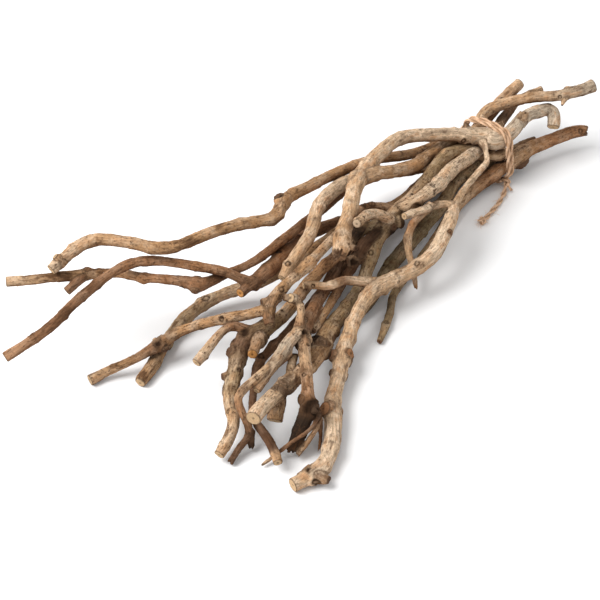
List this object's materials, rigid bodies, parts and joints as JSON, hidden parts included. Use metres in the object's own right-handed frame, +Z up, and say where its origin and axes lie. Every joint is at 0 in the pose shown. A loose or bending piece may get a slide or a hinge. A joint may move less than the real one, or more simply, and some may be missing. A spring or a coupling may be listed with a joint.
{
  "type": "bundle of twigs",
  "caption": "Dry, weathered twigs and branching limbs tied near one end with jute twine, lying down with the other ends fanned out.",
  "frame": {"origin": "middle of the bundle's footprint, on the surface that it lies on", "axes": "+X along the bundle from the fanned ends to the tied end, +Z up"},
  "size_m": [0.6022, 0.2968, 0.0945],
  "materials": {
    "bark_tan": "dry, weathered bark, matt",
    "bark_pale": "worn, nearly bare wood, matt",
    "bark_brown": "dark reddish bark, matt",
    "bark_olive": "dark olive-brown bark, matt",
    "jute": "twisted natural jute twine"
  },
  "bodies": {
    "root": {"long_bent_twig": "bark_tan", "arched_branch": "bark_pale", "arched_branch_fork": "bark_tan", "knotted_branch": "bark_olive", "knotted_branch_stem": "bark_pale", "hooked_limb": "bark_tan", "slender_limb": "bark_tan", "low_left_limb": "bark_tan", "burl_limb": "bark_olive", "burl_side_twig": "bark_olive", "forked_limb": "bark_tan", "forked_limb_left": "bark_pale", "looped_spur": "bark_tan", "crooked_spur": "bark_tan", "crooked_spur_tip": "bark_brown", "narrow_limb": "bark_olive", "round_stub": "bark_tan", "upright_stub": "bark_brown", "front_branch": "bark_pale", "front_branch_fork": "bark_tan", "pale_spur": "bark_pale", "hanging_spur": "bark_tan", "low_right_branch": "bark_tan", "floor_branch": "bark_olive", "left_middle_twig": "bark_pale", "far_left_twig": "bark_brown", "brown_branch": "bark_brown", "brown_branch_tip": "bark_brown", "tan_floor_twig": "bark_tan", "dark_twig": "bark_brown", "rootlet": "bark_pale", "rootlet_short": "bark_pale", "rootlet_long": "bark_pale", "twine_tie": "jute", "twine_tail": "jute"}
  },
  "joints": []
}
